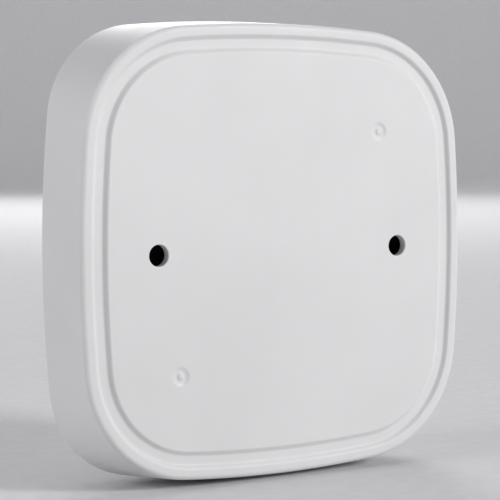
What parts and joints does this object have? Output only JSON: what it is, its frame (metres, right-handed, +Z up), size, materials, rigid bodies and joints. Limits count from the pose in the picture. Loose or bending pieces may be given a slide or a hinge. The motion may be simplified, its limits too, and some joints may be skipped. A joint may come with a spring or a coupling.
{
  "type": "smoke detector",
  "caption": "Compact smoke detector with bulged square outline: shallow wall base with a channelled rear face, and a vented head that twists off it.",
  "frame": {"origin": "centre of the flat mounting face, midway between the two screw holes", "axes": "-Y out of the mounting face into the wall or ceiling, +Y out of the detector's front, +Z up, the two screw holes along X"},
  "size_m": [0.0976, 0.0359, 0.0974],
  "materials": {
    "housing_white": "injection-moulded, fine spark texture, satin",
    "button_white": "injection-moulded, satin",
    "chassis_black": "injection-moulded, matt",
    "optics_black": "injection-moulded, light-absorbing matt",
    "board_green": "glass-fibre laminate with solder mask",
    "chip_black": "moulded epoxy",
    "plunger_red": "moulded",
    "steel": "nickel-plated",
    "chip_ceramic": "fired, unglazed",
    "ferrite": "sintered",
    "can_aluminium": "drawn can",
    "lamp_epoxy": "cast epoxy",
    "clear_acrylic": "moulded, clear",
    "brass": "rolled sheet",
    "silicone": "soft, matt",
    "sleeve_film": "heat-shrunk film"
  },
  "bodies": {
    "base": {"rear_base": "housing_white"},
    "head": {"battery_cell": "steel", "battery_pad": "silicone", "battery_sleeve": "sleeve_film", "battery_tabs": "steel", "board_screws": "steel", "boost_inductor": "ferrite", "button_spring": "steel", "chamber_base": "optics_black", "chamber_labyrinth": "optics_black", "chassis": "chassis_black", "chip_parts": "chip_ceramic", "circuit_board": "board_green", "cover_screws": "steel", "disc_seal": "silicone", "driver_chip": "chip_black", "front_cover": "housing_white", "insect_screen": "steel", "ir_led": "lamp_epoxy", "light_pipe": "clear_acrylic", "microcontroller": "chip_black", "photodiode": "chip_black", "piezo_ceramic": "chip_ceramic", "piezo_disc": "brass", "power_switch": "steel", "sensor_shield": "steel", "sounder_contacts": "steel", "sounder_horn": "optics_black", "status_led": "lamp_epoxy", "storage_capacitor": "can_aluminium", "tact_switch": "chip_black"},
    "button": {"test_button": "button_white"},
    "plunger": {"switch_plunger": "plunger_red"},
    "shuttle": {"power_shuttle": "chassis_black", "switch_knob": "chip_black"}
  },
  "joints": [
    {"name": "head_twist", "type": "hinge", "parent": "base", "child": "head", "pos_m": [0, 0.012, 0], "axis": [0, 1, 0], "range_deg": [0, 12]},
    {"name": "power_slide", "type": "slide", "parent": "head", "child": "shuttle", "axis": [-1, 0, 0], "range_m": [0, 0.0043]},
    {"name": "test_button_press", "type": "slide", "parent": "head", "child": "button", "axis": [0, -1, 0], "range_m": [0, 0.0008], "stiffness_N_per_m": 500, "springref_m": -0.002, "deforming": ["button_spring"]},
    {"name": "plunger_press", "type": "slide", "parent": "head", "child": "plunger", "axis": [0, -1, 0], "range_m": [0, 0.0008]}
  ],
  "couplings": [
    {"joint": "power_slide", "follows": "head_twist", "m_per_rad": 0.02},
    {"joint": "plunger_press", "follows": "test_button_press", "ratio": 1}
  ]
}
